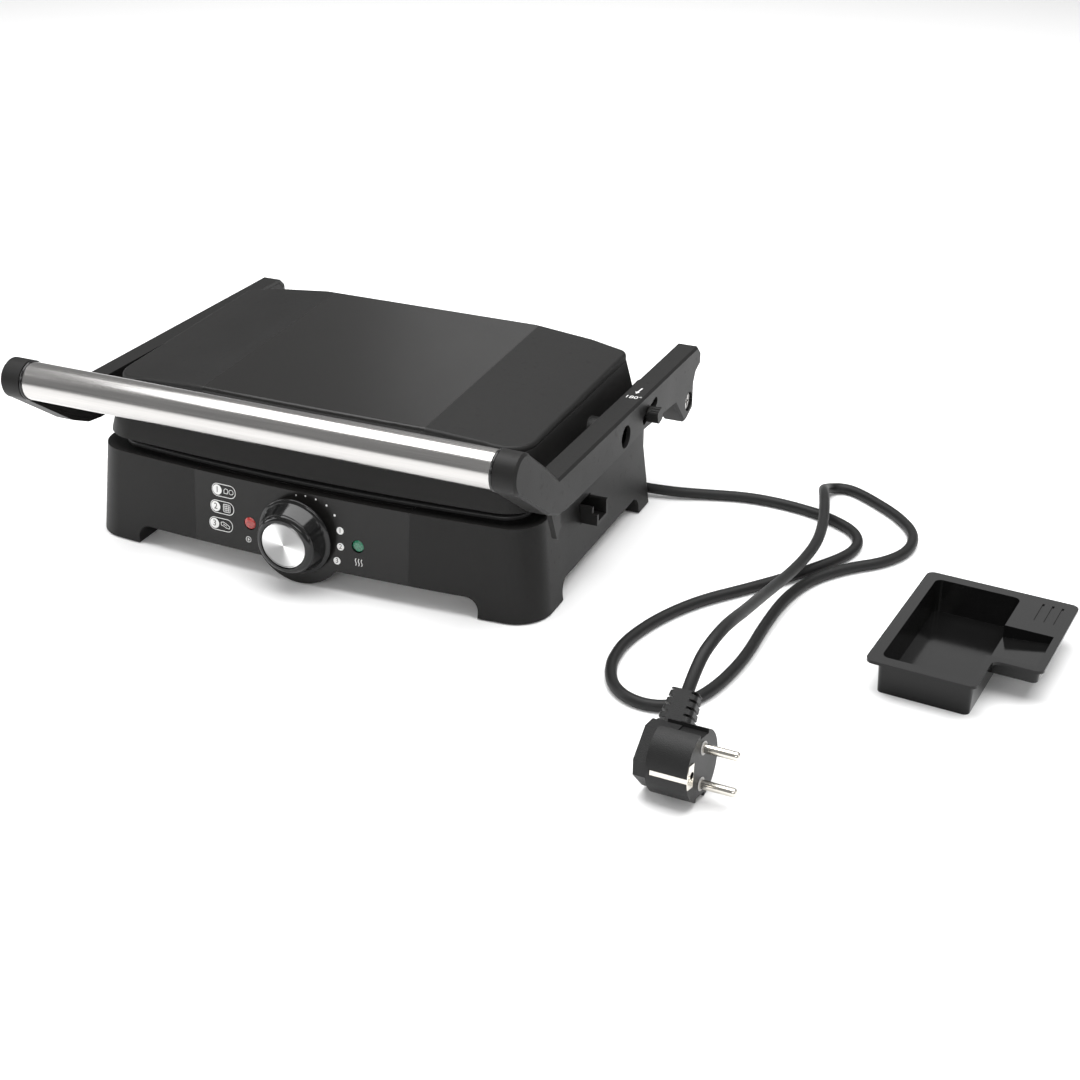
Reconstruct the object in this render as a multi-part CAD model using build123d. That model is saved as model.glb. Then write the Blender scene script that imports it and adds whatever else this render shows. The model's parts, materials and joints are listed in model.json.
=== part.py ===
from build123d import *
import math
import os

os.makedirs("parts", exist_ok=True)

# Panini press, closed, standing on a table, in millimetres.
# Origin: on the table under the middle of the base. +X to the user's right, +Y to the rear, +Z up.

# Base
base_half_width = 152.0
base_top_half_width = 146.5
base_front = -89.0
base_top_front = -83.0
base_rear = 90.0
base_top_rear = 87.0
front_bow = 7.5
rear_corner = 4.0
base_height = 58.0
base_wall = 2.8
arch_height = 13.0
sole_height = 0.8
front_arch_half = 115.4
rear_arch_half = 110.0
side_arch_front = -52.6
side_arch_rear = 69.7
arch_corner = 8.0
plate_opening_half = 131.0
plate_opening_front = -70.0
plate_opening_rear = 73.0

# Control panel on the base's front
knob_height = 32.0
chin_radius = 32.2
panel_front = -94.0
knob_back = -97.2
knob_front = -110.6
knob_front_radius = 17.6
knob_back_radius = 22.0
knob_disc_radius = 14.4
lamp_radius = 3.9
lamp_setback = 0.0012
red_lamp = (-33.0, 31.5)
green_lamp = (39.5, 31.5)

# Grill plates
lower_rim_top = 60.5
lower_rib_top = 59.5
lower_floor = 55.5
upper_rim_bottom = 64.8
upper_rib_bottom = 64.0
upper_floor = 68.5
plate_floor_thickness = 3.0
plate_half_width = 136.0
plate_front = -74.5
plate_rear = 77.5
rib_pitch = 13.0
rib_count = 19
rib_width = 4.6
spout_end = 159.0

# Lid
lid_bottom = 66.0
lid_half_width = 145.0
lid_front = -81.5
lid_rear = 86.0
cover_seam = 98.5
seam_gap = 0.05
cover_half_width = 136.8
cover_front = -75.5
cover_rear = 84.0
crown_half = 75.0
crown_front_z = 106.6
crown_rear_z = 112.2
edge_front_z = 101.3
edge_rear_z = 103.2
lid_wall = 2.6
lid_rear_corner = 5.0

# Hinges and lid pivots
hinge_y = 126.7
hinge_z = 57.1
hinge_pin_radius = 4.0
hinge_head_end = 161.4
pivot_y = 15.0
pivot_z = 78.9
pivot_pin_radius = 4.0
pivot_end = 156.6
running_gap = 0.05

# Arms and handle
arm_inner = 149.3
arm_outer = 162.8
arm_wall = 2.5
arm_cover_thickness = 2.0
bar_inner = 152.6
bar_thickness = 3.0
handle_y = -130.3
handle_z = 118.1
handle_radius = 11.1
handle_bore = 9.9
handle_half_length = 147.2
head_radius = 11.8

# Release lever in the right arm, and the storage hook under it
lever_y = 55.0
lever_z = 79.6
lever_rest = -3.0
slot_angle = 14.0
slot_length = 25.0
slot_height = 6.5
hook_y = -82.5
hook_z = 83.0
hook_pin_radius = 2.0

# Drip tray, standing on the table to the right of the press
tray_corner = (336.5, -79.5)
tray_turn = -4.6
basin_width = 60.5
tray_depth = 110.0
wing_width = 26.5
wing_front = 31.0
tray_height = 21.8
tray_wall = 1.8
tray_lip = 5.2
channel_low = 13.8
channel_high = 16.8

# Power cord
cord_diameter = 6.6
gland_start = (106.0, 96.5, 5.6)
gland_length = 30.0
plug_place = (289.6, -203.5, 19.2)
plug_turn = (-10.75, -1.5, -5.2)
plug_exit_angle = 50.0
plug_exit_back = -20.0
plug_exit_length = 34.0
plug_radius = 18.4
relief_start = 14.0
relief_slots = 5
relief_slot_width = 1.3
earth_hole_y = -13.6
earth_hole_radius = 2.0
pin_pitch = 19.0
pin_radius = 2.4
pin_root_radius = 2.0
pin_length = 19.0


def save(name, shape):
    """Write one sub-part, or a group of separate solids given as a list."""
    if isinstance(shape, list):
        shape = Compound(shape)
    export_step(shape, f"parts/{name}.step")


def both_sides(shape):
    """The shape on the right and its mirror image on the left."""
    return shape, mirror(shape, about=Plane.YZ)


def bowed_plan(half_width, front, rear, bow, front_radius, rear_radius, height=0.0):
    """A plan outline with a bowed front edge and round corners, at a height."""
    arc = ThreePointArc((-half_width, front), (0, front - bow), (half_width, front))
    rest = Polyline((half_width, front), (half_width, rear), (-half_width, rear), (-half_width, front))
    plan = make_face([arc, *rest.edges()])
    corners = plan.vertices().sort_by(Axis.Y)
    plan = fillet(corners[:2], front_radius)
    plan = fillet(plan.vertices().sort_by(Axis.Y)[-2:], rear_radius)
    return Pos(0, 0, height) * plan


def bowed_block(low, high):
    """A solid between two plan outlines, each (half_width, front, rear, bow, radii, height)."""
    return loft([bowed_plan(*low), bowed_plan(*high)], ruled=True)


def rod(start, end, radius):
    """A round bar between two points."""
    axis = Vector(*end) - Vector(*start)
    return extrude(Plane(origin=start, z_dir=axis) * Circle(radius), amount=axis.length)


def side_profile(points):
    """A face in the YZ plane through the given (y, z) points."""
    return Plane.YZ * make_face(Polyline(*points, close=True))


def slab_x(face, start, end):
    """A YZ face pulled from X start to X end."""
    return Pos(start, 0, 0) * extrude(face, amount=end - start, dir=(1, 0, 0))


def disc_x(y, z, radius, start, end):
    return rod((start, y, z), (end, y, z), radius)


def disc_y(x, z, radius, start, end):
    return rod((x, start, z), (x, end, z), radius)


def disc_z(x, y, radius, start, end):
    return rod((x, y, start), (x, y, end), radius)


def box(x, y, z):
    """A box from its (low, high) pairs."""
    size = [high - low for low, high in (x, y, z)]
    centre = [(high + low) / 2 for low, high in (x, y, z)]
    return Pos(*centre) * Box(*size)


# Base
foot_screws = [(136.0, -64.0), (137.0, 79.0)]
foot_pads_at = [(129.0, -78.0), (120.0, 79.5)]


def base_outer(inset=0.0, low=0.0, high=base_height):
    """The base's drafted outer form, or an inner copy of it."""
    return bowed_block(
        (base_half_width - inset, base_front + inset, base_rear - inset, front_bow,
         22 - inset, rear_corner - inset, low),
        (base_top_half_width - inset, base_top_front + inset, base_top_rear - inset, front_bow,
         20 - inset, rear_corner - inset, high))


def arch(half_length, height):
    """The cut-out between two feet, a low rectangle with two round upper corners."""
    face = Pos(0, (height - 2) / 2) * Rectangle(2 * half_length, height + 2)
    return fillet(face.vertices().sort_by(Axis.Y)[-2:], arch_corner)


def base_housing():
    body = base_outer()
    cavity = base_outer(base_wall, 12.9, base_height) & box((-200, 200), (-200, 200), (12.9, 55.2))
    body -= cavity
    # the middle is open below, so only the four feet reach the table
    long_gap = box((-front_arch_half + 3, front_arch_half - 3), (base_front + 1, base_rear - 3), (-1, 13))
    cross_gap = box((-149, 149), (side_arch_front, side_arch_rear), (-1, 13))
    body -= long_gap + cross_gap
    front_arch = extrude(Plane.XZ * arch(front_arch_half, arch_height), amount=120)
    chin = disc_y(0, knob_height + 1, chin_radius, -100, base_front + 1)
    body -= front_arch - chin
    body -= Pos(0, 130, 0) * extrude(Plane.XZ * arch(rear_arch_half, arch_height), amount=60)
    middle = (side_arch_front + side_arch_rear) / 2
    length = (side_arch_rear - side_arch_front) / 2
    body -= Pos(-170, middle, 0) * extrude(Plane.YZ * arch(length, arch_height), amount=340)
    body -= box((-200, 200), (-200, 200), (-1, sole_height))
    # opening for the lower plate, spout window, knob shaft, lamps and cable
    body -= box((-plate_opening_half, plate_opening_half), (plate_opening_front, plate_opening_rear), (50, 60))
    body -= box((138, 160), (-19.8, -2.2), (34.2, 47.0))
    body -= disc_y(0, knob_height, 4.2, -100, -85)
    for x, z in (red_lamp, green_lamp):
        body -= disc_y(x, z, lamp_radius + 0.1, -100, -85)
    body += cable_boss()
    for x, y in foot_screws:
        for side in (-1, 1):
            post = disc_z(side * x, y, 4.6, 14.8, 56) & base_outer(1.0)
            body += post
            body -= disc_z(side * x, y, 2.05, 14, 30)
            body -= disc_z(side * x, y, 4.6, -1, 13)
    for x, y in foot_pads_at:
        for side in (-1, 1):
            body -= disc_z(side * x, y, 7.0, 0, 2.0)
    return body


def cable_boss():
    """A block on the rear wall, from which the cord leaves sideways."""
    block = box((92, 112), (base_rear - 3, 103), (0.9, 21))
    block = fillet(block.edges().filter_by(Axis.Z).sort_by(Axis.Y)[-2:], 4)
    block -= disc_y(101, 16, 4.0, 70, 99)
    block -= rod(gland_start, (113, *gland_start[1:]), 4.55)
    return block


def base_bottom_plate():
    plate = extrude(bowed_plan(148.0, base_front + 3.4, base_rear - 3.4, front_bow, 17, 3, 13.1), amount=1.5)
    plate &= base_outer(base_wall + 0.3, 0, base_height)
    for x, y in foot_screws:
        for side in (-1, 1):
            plate -= disc_z(side * x, y, 2.3, 12, 16)
    for x in range(-80, 81, 20):
        plate -= box((x - 2, x + 2), (-25, 25), (12, 16))
    return plate


def foot_pads():
    return [disc_z(side * x, y, 6.9, 0, 1.9) for x, y in foot_pads_at for side in (-1, 1)]


def bottom_screws():
    screws = []
    for x, y in foot_screws:
        for side in (-1, 1):
            head = disc_z(side * x, y, 3.8, 10.4, 13.0)
            head -= box((side * x - 3, side * x + 3), (y - 0.5, y + 0.5), (10, 11.4))
            head -= box((side * x - 0.5, side * x + 0.5), (y - 3, y + 3), (10, 11.4))
            screws.append(head + disc_z(side * x, y, 2.0, 13.0, 26))
    return screws


# Grill plates
def plate_outline(height, inset=0.0):
    return bowed_plan(plate_half_width - inset, plate_front + inset, plate_rear - inset, front_bow,
                      16 - inset, 12 - inset, height)


def lower_grill_plate():
    rim = extrude(plate_outline(58.1), amount=lower_rim_top - 58.1)
    rim = fillet(rim.faces().sort_by(Axis.Z)[-1].edges(), 1.2)
    pan = box((-128.5, 128.5), (-68, 71), (lower_floor - plate_floor_thickness, 58.1))
    pan = fillet(pan.edges().filter_by(Axis.Z), 9)
    plate = rim + pan
    basin = box((-125.5, 125.5), (-65, 68), (lower_floor, 62))
    plate -= fillet(basin.edges().filter_by(Axis.Z), 7)
    plate += ribs(lower_floor - 0.5, lower_rib_top, -60, 63)
    # drain hole over the spout
    plate -= box((119.5, 125), (-17, -5), (50, 58))
    return plate


def upper_grill_plate():
    rim = extrude(plate_outline(upper_rim_bottom), amount=2.6)
    rim = fillet(rim.faces().sort_by(Axis.Z)[0].edges(), 1.2)
    pan = box((-128.5, 128.5), (-68, 71), (67.4, upper_floor + plate_floor_thickness))
    pan = fillet(pan.edges().filter_by(Axis.Z), 9)
    plate = rim + pan
    basin = box((-125.5, 125.5), (-65, 68), (60, upper_floor))
    plate -= fillet(basin.edges().filter_by(Axis.Z), 7)
    plate += ribs(upper_rib_bottom, upper_floor + 0.5, -60, 63)
    return plate


def ribs(low, high, front, rear):
    """Round-ended ribs that run front to back across a plate."""
    group = []
    for index in range(rib_count):
        x = (index - (rib_count - 1) / 2) * rib_pitch
        rear_end = rear if abs(x) < 112 else rear - 6
        front_end = front if abs(x) < 112 else front + 6
        bar = box((x - rib_width / 2, x + rib_width / 2), (front_end, rear_end), (low, high))
        group.append(fillet(bar.edges().filter_by(Axis.Z), 2.0))
    return group


def plate_screws(z_low, z_high, head_z):
    """Three screws that hold a plate down through its reflector."""
    screws = []
    for x, y in ((-70, 5), (70, 5)):
        screws.append(disc_z(x, y, 2.0, z_low, z_high) + disc_z(x, y, 4.0, *head_z))
    return screws


def fat_spout():
    """Trough that carries fat from the plate's drain hole out over the tray."""
    trough = box((118, spout_end), (-19.2, -2.8), (35.0, 46.2))
    trough -= box((120, 170), (-16.8, -5.2), (37.2, 50))
    trough -= box((spout_end - 3.2, 170), (-21, -13.5), (42.0, 50))
    funnel = box((118, 128), (-19.2, -2.8), (46.0, 52.2)) - box((120, 126), (-16.8, -5.2), (45, 53))
    return trough + funnel


def heating_element(height):
    """A bent tubular heater: a flat loop with two ends that turn to the rear."""
    path = FilletPolyline((-12, 66, height), (-12, 44, height), (-104, 44, height), (-104, -44, height),
                          (104, -44, height), (104, 44, height), (12, 44, height), (12, 66, height), radius=16)
    section = Plane(origin=path @ 0, z_dir=path % 0) * Circle(3.3)
    return sweep(section, path=path)


def reflector(low, high, floor_span, open_span):
    """A shallow sheet pan behind the heater, with a gap in its rear wall for the heater's ends."""
    pan = box((-116, 116), (-60, 60), (low, high))
    pan = fillet(pan.edges().filter_by(Axis.Z), 10)
    hollow = box((-115.2, 115.2), (-59.2, 59.2), (low - 1, high + 1))
    hollow = fillet(hollow.edges().filter_by(Axis.Z), 9.2)
    floor = fillet(box((-116, 116), (-60, 60), floor_span).edges().filter_by(Axis.Z), 10)
    pan = pan - hollow + floor
    for x in (-70, 70):
        pan -= disc_z(x, 5, 2.2, low - 1, high + 1)
    pan -= box((-17, 17), (55, 61), open_span)
    return pan


def element_clamps(low, high):
    """Two straps that press the heater against its plate."""
    clamps = []
    for x in (-40, 40):
        strap = box((x - 7, x + 7), (-52, -36), (low, high))
        clamps.append(strap)
    return clamps


# Controls
def dial_knob():
    """Turned knob with a wide skirt, a bevelled front and a blind shaft hole."""
    profile = Polyline((4.0, knob_back + 1.5), (knob_back_radius - 3, knob_back + 1.5),
                       (knob_back_radius - 3, knob_back), (knob_back_radius + 2, knob_back),
                       (knob_back_radius + 2, knob_back - 2.2),
                       (knob_back_radius - 1.0, knob_back - 3.2), (knob_front_radius + 1.4, knob_front + 3.0),
                       (knob_front_radius - 0.2, knob_front + 1.0), (knob_disc_radius + 0.4, knob_front),
                       (knob_disc_radius + 0.2, knob_front + 1.2), (4.0, knob_front + 1.2), close=True)
    solid = revolve(make_face(profile), axis=Axis.Y)
    solid += disc_y(0, 0, 4.5, knob_back + 1.5, knob_front + 1.2)
    solid -= disc_y(0, 0, 3.05, knob_back + 6, knob_front + 3.2)
    return Pos(0, 0, knob_height) * solid


def knob_disc():
    return disc_y(0, knob_height, knob_disc_radius, knob_front + 0.2, knob_front + 1.1)


def thermostat():
    """Thermostat with its shaft, standing behind the front wall."""
    body = disc_y(0, knob_height, 13, -82, -64) + box((-15, 15), (-84, -82), (knob_height - 9, knob_height + 9))
    body += disc_y(0, knob_height, 2.95, -107.0, -84)
    for x in (-8, 8):
        body += box((x - 3, x + 3), (-64, -57), (knob_height - 0.4, knob_height + 0.4))
    return body


def lamp_lens(place):
    """A round lens with a low dome and a flange behind the wall."""
    x, z = place
    front = panel_front - 0.9 + lamp_setback * x * x
    lens = disc_y(x, z, lamp_radius, front, -86)
    lens += disc_y(x, z, lamp_radius + 1.4, -88.2, -86)
    return lens


def neon_lamps():
    lamps = []
    for x, z in (red_lamp, green_lamp):
        lamps.append(disc_y(x, z, 2.6, -85.8, -70) + disc_y(x, z, 1.2, -70, -66))
    return lamps


def terminal_block():
    block = box((40, 76), (-20, -6), (14.8, 28))
    for x in (46, 58, 70):
        block -= disc_z(x, -13, 2.4, 20, 30)
    return block


def thermal_fuse():
    return disc_x(30, 34, 3.2, -40, -20) + disc_x(30, 34, 0.8, -52, -8)


def internal_leads():
    """The three cores between the cable boss, the terminal block and the thermostat."""
    leads = []
    for index, x in enumerate((46, 58, 70)):
        offset = 4 * index
        path = FilletPolyline((101 - index * 2.6, 84, 16 + index * 2.6), (96 - offset, 60, 18), (x, 30, 19),
                              (x, -5.8, 22), radius=6)
        leads.append(sweep(Plane(origin=path @ 0, z_dir=path % 0) * Circle(1.2), path=path))
    return leads


# Lid
def crown_profile(y, crown_z, edge_z, low, drop=0.0):
    """Cross-section of the lid's top: flat in the middle, falling to both sides."""
    points = [(-150, low), (-150, edge_z - 2.0 - drop), (-113, (crown_z + edge_z) / 2 + 0.6 - drop),
              (-crown_half, crown_z - drop), (crown_half, crown_z - drop),
              (113, (crown_z + edge_z) / 2 + 0.6 - drop), (150, edge_z - 2.0 - drop), (150, low)]
    return Plane(origin=(0, y, 0), x_dir=(1, 0, 0), z_dir=(0, -1, 0)) * make_face(Polyline(*points, close=True))


def crown_block(low, drop=0.0):
    """Everything under the lid's top surface, lowered by drop."""
    return loft([crown_profile(-84, crown_front_z, edge_front_z, low, drop),
                 crown_profile(90, crown_rear_z, edge_rear_z, low, drop)], ruled=True)


def cover_plan(inset, low, height):
    return extrude(bowed_plan(cover_half_width - inset, cover_front + inset, cover_rear - inset, 2.5,
                              21 - inset, lid_rear_corner - inset, low), amount=height)


def lid_cover():
    cover = cover_plan(0, cover_seam, 25) & crown_block(90)
    rim = [edge for edge in cover.edges() if edge.center().Z > cover_seam + 1
           and (abs(edge.center().X) > crown_half + 30 or abs(edge.center().Y) > 60)
           and not edge_is_crease(edge)]
    cover = try_fillet(cover, rim, (4.0, 3.0, 2.4, 1.6, 0.8))
    cover -= cover_plan(lid_wall, cover_seam - 1, 25) & crown_block(90, lid_wall)
    return cover


def edge_is_crease(edge):
    """Creases of the crown run front to back, so both their ends lie far apart in Y."""
    ends = edge.vertices()
    if len(ends) < 2:
        return False
    return abs(ends[0].Y - ends[1].Y) > 20 and abs(edge.center().X) < 120


def try_fillet(shape, edges, sizes):
    """The largest of the given radii that the shape takes."""
    for size in sizes:
        try:
            rounded = fillet(edges, size)
            if rounded.is_valid and rounded.volume > 0:
                return rounded
        except (ValueError, RuntimeError):
            continue
    return shape


def lid_outer(inset=0.0, low=lid_bottom, high=cover_seam - seam_gap):
    """The lid's skirt, steep and wider at the bottom."""
    return bowed_block((lid_half_width - inset, lid_front + inset, lid_rear - inset, front_bow - 1,
                        24 - inset, lid_rear_corner - inset, low),
                       (cover_half_width + 0.2 - inset, cover_front - 0.2 + inset, cover_rear + 0.2 - inset, 2.5,
                        21 - inset, lid_rear_corner - inset, high))


def lid_frame():
    frame = lid_outer()
    frame -= lid_outer(lid_wall) & box((-200, 200), (-200, 200), (68.6, 120))
    frame -= extrude(bowed_plan(plate_half_width + 0.6, plate_front - 0.6, plate_rear + 0.6, front_bow,
                                16, 12, 60), amount=7.4)
    frame -= box((-129, 129), (-68.5, 71.5), (60, 75))
    for side in (-1, 1):
        boss = disc_x(pivot_y, pivot_z, 9.0, side * 133, side * 148.6)
        frame += boss
        frame -= disc_x(pivot_y, pivot_z, pivot_pin_radius + running_gap, side * 131, side * 150)
    return frame


def lid_screws():
    screws = []
    for x in (-120, 120):
        for y in (-58, 66):
            screws.append(disc_z(x, y, 2.0, 86, 96) + disc_z(x, y, 3.8, 83.6, 86))
    return screws


# Arms
arm_points = [(-125.0, 128.4), (-102.7, 111.1), (-84.5, 95.3), (142.0, 89.7), (148.0, 84.0), (148.0, 75.9),
              (139.2, 73.0), (135.6, 67.0), (135.6, 50.0), (124.0, 45.6), (119.5, 45.2), (101.6, 65.2),
              (46.6, 69.7), (5.8, 68.9), (-72.0, 71.0), (-84.0, 72.8), (-98.2, 79.6), (-139.0, 110.2)]


def arm_outline(inset=0.0):
    """The arm seen from the side: a round head, a level beam and a lobe round the hinge."""
    face = side_profile(arm_points)
    bends = [v for v in face.vertices() if v.Y > -100]
    face = fillet(bends, 2.2)
    face += Pos(0, handle_y, handle_z) * (Plane.YZ * Circle(head_radius))
    if inset:
        face = offset(face, amount=-inset, kind=Kind.INTERSECTION)
    return face


def arm_shell():
    shell = slab_x(arm_outline(), arm_inner, arm_outer)
    outer = shell.faces().sort_by(Axis.X)[-1]
    shell = try_fillet_chamfer(shell, outer.edges())
    shell -= slab_x(arm_outline(arm_wall), arm_inner - 1, arm_outer - arm_wall)
    shell -= disc_x(hinge_y, hinge_z, 6.4, 150, 170)
    shell -= disc_x(pivot_y, pivot_z, 7.0, 150, 170)
    return shell


def try_fillet_chamfer(shape, edges):
    """A small bevel along the arm's outer edge."""
    for size in (1.4, 1.0, 0.6):
        try:
            bevelled = chamfer(edges, size)
            if bevelled.is_valid:
                return bevelled
        except (ValueError, RuntimeError):
            continue
    return shape


def arm_shell_right():
    shell = arm_shell()
    shell -= slot_cut(150, 170)
    # slot through the lower wall for the storage hook
    shell -= box((156.2, 160.3), (-93, -69), (66, 80.5))
    return shell


def slot_cut(start, end, extra=0.0):
    """The inclined slot that the release lever slides in."""
    slot = Pos(0, lever_y, lever_z) * Rot(slot_angle, 0, 0) * Box(1, slot_length + extra, slot_height + extra)
    slot = fillet(slot.edges().filter_by(Axis.X), 3)
    face = slot.faces().sort_by(Axis.X)[-1]
    return extrude(Pos(start - face.center().X, 0, 0) * face, amount=end - start, dir=(1, 0, 0))


def arm_cover():
    cover = slab_x(arm_outline(arm_wall + 0.2), arm_inner, arm_inner + arm_cover_thickness)
    cover -= disc_x(hinge_y, hinge_z, 6.0, 140, 160)
    cover -= disc_x(pivot_y, pivot_z, 5.2, 140, 160)
    cover -= disc_x(handle_y, handle_z, 2.05, 140, 160)
    return cover


def arm_bar():
    """Steel bar that carries the load from the hinge to the lid pivot and the handle."""
    points = [(-136, 112), (-124, 122), (-90, 91.5), (126, 86.0), (133.2, 80), (133.2, 52), (121.5, 49.5),
              (104, 73), (20, 72.4), (-74, 75.5), (-96, 84)]
    bar = slab_x(side_profile(points), bar_inner, bar_inner + bar_thickness)
    bar += disc_x(handle_y, handle_z, 8.0, bar_inner, bar_inner + bar_thickness)
    bar &= slab_x(arm_outline(arm_wall + 0.3), bar_inner, bar_inner + bar_thickness)
    bar -= disc_x(hinge_y, hinge_z, hinge_pin_radius + running_gap, 140, 170)
    bar -= disc_x(pivot_y, pivot_z, pivot_pin_radius, 140, 170)
    bar -= disc_x(handle_y, handle_z, 2.6, 140, 170)
    return bar


def arm_bar_right():
    bar = arm_bar()
    bar -= disc_x(hook_y, hook_z, hook_pin_radius, 140, 170)
    return bar


def handle_tube():
    outer = disc_x(handle_y, handle_z, handle_radius, -handle_half_length, handle_half_length)
    return outer - disc_x(handle_y, handle_z, handle_bore, -handle_half_length - 1, handle_half_length + 1)


def handle_cap():
    """Black end collar with a spigot inside the tube."""
    cap = disc_x(handle_y, handle_z, head_radius, handle_half_length, arm_inner)
    cap += disc_x(handle_y, handle_z, handle_bore - 0.1, handle_half_length - 20, handle_half_length)
    cap -= disc_x(handle_y, handle_z, 2.05, handle_half_length - 21, arm_inner + 1)
    return cap


def handle_screw():
    screw = disc_x(handle_y, handle_z, 2.0, handle_half_length - 16, bar_inner + bar_thickness)
    return screw + disc_x(handle_y, handle_z, 4.0, bar_inner + bar_thickness, bar_inner + bar_thickness + 2.4)


def lid_pivot():
    """Pin fixed in the arm's bar, on which the lid tilts."""
    pin = disc_x(pivot_y, pivot_z, pivot_pin_radius, 134.5, pivot_end)
    return pin + disc_x(pivot_y, pivot_z, 5.0, bar_inner + bar_thickness, pivot_end)


def hinge_tower():
    """Bracket at the base's rear corner that reaches back to the arm's hinge."""
    points = [(91.0, 55.0), (91.0, 62.0), (99.0, 67.0), (106.0, 70.5), (117.0, 70.5), (134.0, 66.0),
              (137.6, 57.0), (133.0, 48.0), (125.0, 45.2)]
    tower = slab_x(side_profile(points), 131.0, 148.7)
    tower = fillet(tower.edges().filter_by(Axis.X), 1.5)
    tower += box((116, 145.5), (87.3, 92.0), (22, 57))
    tower -= base_outer()
    tower -= disc_x(hinge_y, hinge_z, hinge_pin_radius, 120, 160)
    return tower


def hinge_pin():
    """Shoulder screw from outside through the arm's bar into the tower."""
    pin = disc_x(hinge_y, hinge_z, hinge_pin_radius, 132, 157.6)
    head = disc_x(hinge_y, hinge_z, 5.4, 156.0, hinge_head_end)
    for half_y, half_z in ((3.4, 0.7), (0.7, 3.4)):
        head -= box((hinge_head_end - 1.2, hinge_head_end + 1), (hinge_y - half_y, hinge_y + half_y),
                    (hinge_z - half_z, hinge_z + half_z))
    return pin + head


def lever_frame():
    """The middle of the lever's slot, with the sliding line along local Y."""
    return Pos(0, lever_y, lever_z) * Rot(slot_angle, 0, 0)


def release_lever():
    """Sliding lever: a plate inside the arm, a neck in the slot and a ribbed grip outside."""
    plate = Pos(158.3, 0, 0) * Box(2.6, 11, 5.6)
    neck = Pos(161.5, 0, 0) * Box(6.0, 6, 4.6)
    grip = Pos(166.9, 0, 0) * Box(7.2, 8.5, 8.5)
    grip = fillet(grip.edges().filter_by(Axis.X), 2.4)
    for y in (-2.4, 0, 2.4):
        grip -= Pos(167.9, y, 4.4) * Box(5.4, 0.8, 1.2)
    return lever_frame() * Pos(0, lever_rest, 0) * (plate + neck + grip)


def release_spring():
    """Return spring of the lever, a short closed coil in front of it."""
    turns = [Pos(158.3, -16.1 - 1.3 * index, 0) * Rot(90, 0, 0) * Torus(1.5, 0.45) for index in range(3)]
    core = Pos(158.3, -17.4, 0) * Rot(90, 0, 0) * Cylinder(1.4, 5.0)
    return lever_frame() * (core + turns)


def latch_hook():
    """Storage hook that hangs from the right arm."""
    points = [(-88.0, 87.5), (-77.0, 87.5), (-75.6, 74.0), (-76.0, 64.5), (-73.8, 61.5), (-77.6, 59.6),
              (-78.6, 55.0), (-81.2, 56.5), (-88.4, 74.0)]
    hook = slab_x(side_profile(points), 156.7, 159.9)
    return hook - disc_x(hook_y, hook_z, hook_pin_radius + running_gap, 150, 170)


def hook_pin():
    return disc_x(hook_y, hook_z, hook_pin_radius, bar_inner, 160.2)


# Tray
def drip_tray():
    """Deep basin with a flange, and a side wing with a finger pad and a sloping channel."""
    total = basin_width + wing_width
    flange = Pos(basin_width / 2, tray_depth / 2, 0) * Rectangle(basin_width, tray_depth)
    flange += Pos(basin_width + wing_width / 2, (wing_front + tray_depth) / 2, 0) * Rectangle(
        wing_width, tray_depth - wing_front)
    flange = fillet(flange.vertices(), 4.5)
    tray = Pos(0, 0, tray_height - tray_wall) * extrude(flange, amount=tray_wall)
    basin = tapered_box(tray_lip, basin_width - 3.0, tray_lip, tray_depth - tray_lip, 0, tray_height - 0.2)
    tray += basin
    channel = tapered_box(basin_width - 6, total - 2.2, wing_front + 2.0, 72, channel_low - 1.4,
                          tray_height - 0.2)
    tray += channel
    tray -= tapered_box(tray_lip + tray_wall, basin_width - 3.0 - tray_wall, tray_lip + tray_wall,
                        tray_depth - tray_lip - tray_wall, tray_wall, tray_height + 0.2)
    slope = side_cut(basin_width - 8, total - 4.2)
    tray -= slope
    for index in range(3):
        x = basin_width + 8 + 5.4 * index
        tray -= box((x - 0.6, x + 0.6), (tray_depth - 27, tray_depth - 7), (tray_height - 0.7, tray_height + 1))
    # small registering notches in the flange
    tray -= box((28, 30), (tray_depth - 3.2, tray_depth + 1), (0, 20))
    place = Pos(tray_corner[0], tray_corner[1], 0) * Rot(0, 0, tray_turn)
    return place * tray


def tapered_box(x_low, x_high, y_low, y_high, z_low, z_high, draft=0.9):
    """A box that widens a little towards its top."""
    low = Pos((x_low + x_high) / 2, (y_low + y_high) / 2, z_low) * RectangleRounded(
        x_high - x_low - 2 * draft, y_high - y_low - 2 * draft, 3.2)
    high = Pos((x_low + x_high) / 2, (y_low + y_high) / 2, z_high) * RectangleRounded(
        x_high - x_low, y_high - y_low, 4.0)
    return loft([low, high], ruled=True)


def side_cut(x_low, x_high):
    """The hollow of the wing's channel, whose floor falls towards the basin."""
    points = [(x_low, channel_low), (x_low, 25), (x_high, 25), (x_high - 0.8, channel_high)]
    face = Plane.XZ * make_face(Polyline(*points, close=True))
    return Pos(0, 70, 0) * extrude(face, amount=70 - wing_front - 4.2)


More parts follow.
